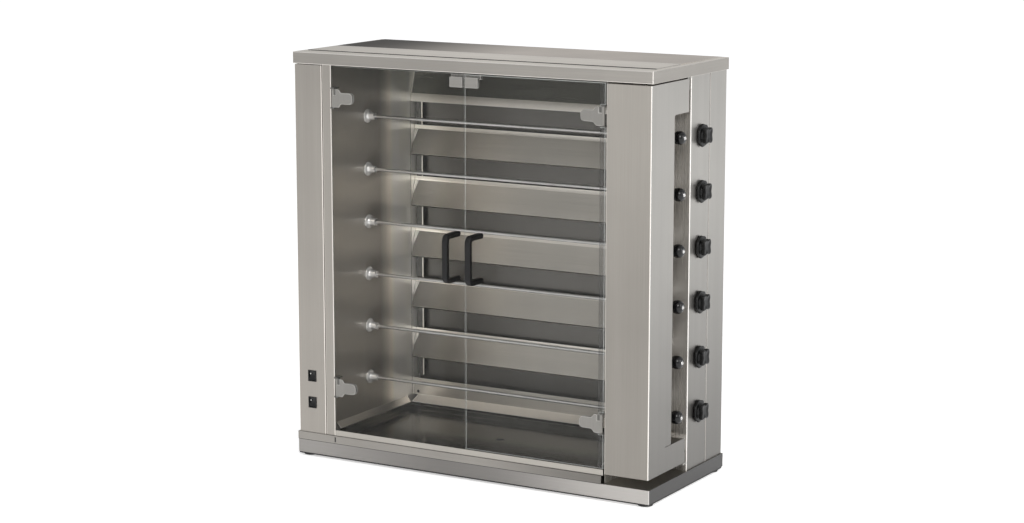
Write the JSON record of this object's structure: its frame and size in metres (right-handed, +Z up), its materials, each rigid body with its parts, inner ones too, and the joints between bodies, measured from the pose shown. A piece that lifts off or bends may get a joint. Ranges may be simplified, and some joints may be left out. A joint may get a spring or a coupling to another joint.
{
  "type": "gas rotisserie oven",
  "caption": "Tall stainless gas rotisserie oven with glass double doors, stacked horizontal spits, a drip tray, and burner knobs and spit handles behind a hinged side guard.",
  "frame": {"origin": "on the floor, under the middle of the plinth box", "axes": "+X to the right seen from the front, +Y to the back, +Z up"},
  "size_m": [1.118, 0.5405, 1.132],
  "materials": {
    "case_steel": "brushed",
    "inner_steel": "brushed, darker",
    "burner_steel": "satin",
    "brass": "satin",
    "knob_black": "satin",
    "chrome": "polished",
    "handle_black": "semi-gloss",
    "motor_paint": "semi-matte",
    "chain_steel": "oiled",
    "glass": "clear tempered",
    "zinc": "bright satin",
    "rubber": "matt"
  },
  "bodies": {
    "cabinet": {"feet": "rubber", "plinth": "case_steel", "front_rail": "case_steel", "left_cover": "case_steel", "left_inner_wall": "case_steel", "right_inner_wall": "case_steel", "back_panel": "case_steel", "right_side_panel": "case_steel", "control_panel": "case_steel", "cap": "case_steel", "vent_plate": "inner_steel", "hood": "inner_steel", "deflectors": "inner_steel", "lower_panel": "inner_steel", "burners": "burner_steel", "gas_manifold": "brass", "gear_motor": "motor_paint", "drive_chain": "chain_steel", "door_catch": "zinc", "door_hinge_pins": "zinc", "guard_hinge_pins": "zinc", "switch_bezels": "knob_black", "cable_gland": "knob_black", "cover_screws": "zinc"},
    "left_door": {"left_door_glass": "glass", "left_door_hinges": "zinc", "left_door_handle": "handle_black", "left_door_strike": "zinc"},
    "right_door": {"right_door_glass": "glass", "right_door_hinges": "zinc", "right_door_handle": "handle_black", "right_door_strike": "zinc"},
    "guard": {"guard_door": "case_steel"},
    "tray": {"drip_tray": "inner_steel"},
    "rocker_upper": {"upper_rocker": "knob_black"},
    "rocker_lower": {"lower_rocker": "knob_black"},
    "drive_1": {"spit_drive_1": "chrome"},
    "spit_body_1": {"spit_1": "chrome", "spit_handle_1": "handle_black"},
    "knob_1": {"burner_knob_1": "knob_black"},
    "drive_2": {"spit_drive_2": "chrome"},
    "spit_body_2": {"spit_2": "chrome", "spit_handle_2": "handle_black"},
    "knob_2": {"burner_knob_2": "knob_black"},
    "drive_3": {"spit_drive_3": "chrome"},
    "spit_body_3": {"spit_3": "chrome", "spit_handle_3": "handle_black"},
    "knob_3": {"burner_knob_3": "knob_black"},
    "drive_4": {"spit_drive_4": "chrome"},
    "spit_body_4": {"spit_4": "chrome", "spit_handle_4": "handle_black"},
    "knob_4": {"burner_knob_4": "knob_black"},
    "drive_5": {"spit_drive_5": "chrome"},
    "spit_body_5": {"spit_5": "chrome", "spit_handle_5": "handle_black"},
    "knob_5": {"burner_knob_5": "knob_black"},
    "drive_6": {"spit_drive_6": "chrome"},
    "spit_body_6": {"spit_6": "chrome", "spit_handle_6": "handle_black"},
    "knob_6": {"burner_knob_6": "knob_black"}
  },
  "joints": [
    {"name": "left_door_hinge", "type": "hinge", "parent": "cabinet", "child": "left_door", "pos_m": [-0.419, -0.22, 0.611], "axis": [0, 0, -1], "range_deg": [0, 110]},
    {"name": "right_door_hinge", "type": "hinge", "parent": "cabinet", "child": "right_door", "pos_m": [0.407, -0.22, 0.611], "axis": [0, 0, 1], "range_deg": [0, 110]},
    {"name": "guard_hinge", "type": "hinge", "parent": "cabinet", "child": "guard", "pos_m": [0.538, -0.008, 0.58], "axis": [0, 0, 1], "range_deg": [0, 95]},
    {"name": "tray_slide", "type": "slide", "parent": "cabinet", "child": "tray", "axis": [0, -1, 0], "range_m": [0, 0.3]},
    {"name": "drive_1_spin", "type": "hinge", "parent": "cabinet", "child": "drive_1", "pos_m": [-0.44, -0.045, 0.943], "axis": [1, 0, 0], "continuous": true},
    {"name": "spit_1_slide", "type": "slide", "parent": "drive_1", "child": "spit_body_1", "axis": [1, 0, 0], "range_m": [0, 0.022]},
    {"name": "knob_1_turn", "type": "hinge", "parent": "cabinet", "child": "knob_1", "pos_m": [0.547, 0.068, 0.9385], "axis": [1, 0, 0], "range_deg": [0, 180]},
    {"name": "drive_2_spin", "type": "hinge", "parent": "cabinet", "child": "drive_2", "pos_m": [-0.44, -0.045, 0.795], "axis": [1, 0, 0], "continuous": true},
    {"name": "spit_2_slide", "type": "slide", "parent": "drive_2", "child": "spit_body_2", "axis": [1, 0, 0], "range_m": [0, 0.022]},
    {"name": "knob_2_turn", "type": "hinge", "parent": "cabinet", "child": "knob_2", "pos_m": [0.547, 0.068, 0.7905], "axis": [1, 0, 0], "range_deg": [0, 180]},
    {"name": "drive_3_spin", "type": "hinge", "parent": "cabinet", "child": "drive_3", "pos_m": [-0.44, -0.045, 0.647], "axis": [1, 0, 0], "continuous": true},
    {"name": "spit_3_slide", "type": "slide", "parent": "drive_3", "child": "spit_body_3", "axis": [1, 0, 0], "range_m": [0, 0.022]},
    {"name": "knob_3_turn", "type": "hinge", "parent": "cabinet", "child": "knob_3", "pos_m": [0.547, 0.068, 0.6425], "axis": [1, 0, 0], "range_deg": [0, 180]},
    {"name": "drive_4_spin", "type": "hinge", "parent": "cabinet", "child": "drive_4", "pos_m": [-0.44, -0.045, 0.499], "axis": [1, 0, 0], "continuous": true},
    {"name": "spit_4_slide", "type": "slide", "parent": "drive_4", "child": "spit_body_4", "axis": [1, 0, 0], "range_m": [0, 0.022]},
    {"name": "knob_4_turn", "type": "hinge", "parent": "cabinet", "child": "knob_4", "pos_m": [0.547, 0.068, 0.4945], "axis": [1, 0, 0], "range_deg": [0, 180]},
    {"name": "drive_5_spin", "type": "hinge", "parent": "cabinet", "child": "drive_5", "pos_m": [-0.44, -0.045, 0.351], "axis": [1, 0, 0], "continuous": true},
    {"name": "spit_5_slide", "type": "slide", "parent": "drive_5", "child": "spit_body_5", "axis": [1, 0, 0], "range_m": [0, 0.022]},
    {"name": "knob_5_turn", "type": "hinge", "parent": "cabinet", "child": "knob_5", "pos_m": [0.547, 0.068, 0.3465], "axis": [1, 0, 0], "range_deg": [0, 180]},
    {"name": "drive_6_spin", "type": "hinge", "parent": "cabinet", "child": "drive_6", "pos_m": [-0.44, -0.045, 0.203], "axis": [1, 0, 0], "continuous": true},
    {"name": "spit_6_slide", "type": "slide", "parent": "drive_6", "child": "spit_body_6", "axis": [1, 0, 0], "range_m": [0, 0.022]},
    {"name": "knob_6_turn", "type": "hinge", "parent": "cabinet", "child": "knob_6", "pos_m": [0.547, 0.068, 0.1985], "axis": [1, 0, 0], "range_deg": [0, 180]},
    {"name": "upper_rocker_tip", "type": "hinge", "parent": "cabinet", "child": "rocker_upper", "pos_m": [-0.501, -0.215, 0.2305], "axis": [1, 0, 0], "range_deg": [0, 16]},
    {"name": "lower_rocker_tip", "type": "hinge", "parent": "cabinet", "child": "rocker_lower", "pos_m": [-0.501, -0.215, 0.155], "axis": [1, 0, 0], "range_deg": [0, 16]}
  ],
  "couplings": [
    {"joint": "drive_1_spin", "follows": "drive_6_spin", "ratio": 1},
    {"joint": "drive_2_spin", "follows": "drive_6_spin", "ratio": 1},
    {"joint": "drive_3_spin", "follows": "drive_6_spin", "ratio": 1},
    {"joint": "drive_4_spin", "follows": "drive_6_spin", "ratio": 1},
    {"joint": "drive_5_spin", "follows": "drive_6_spin", "ratio": 1}
  ]
}
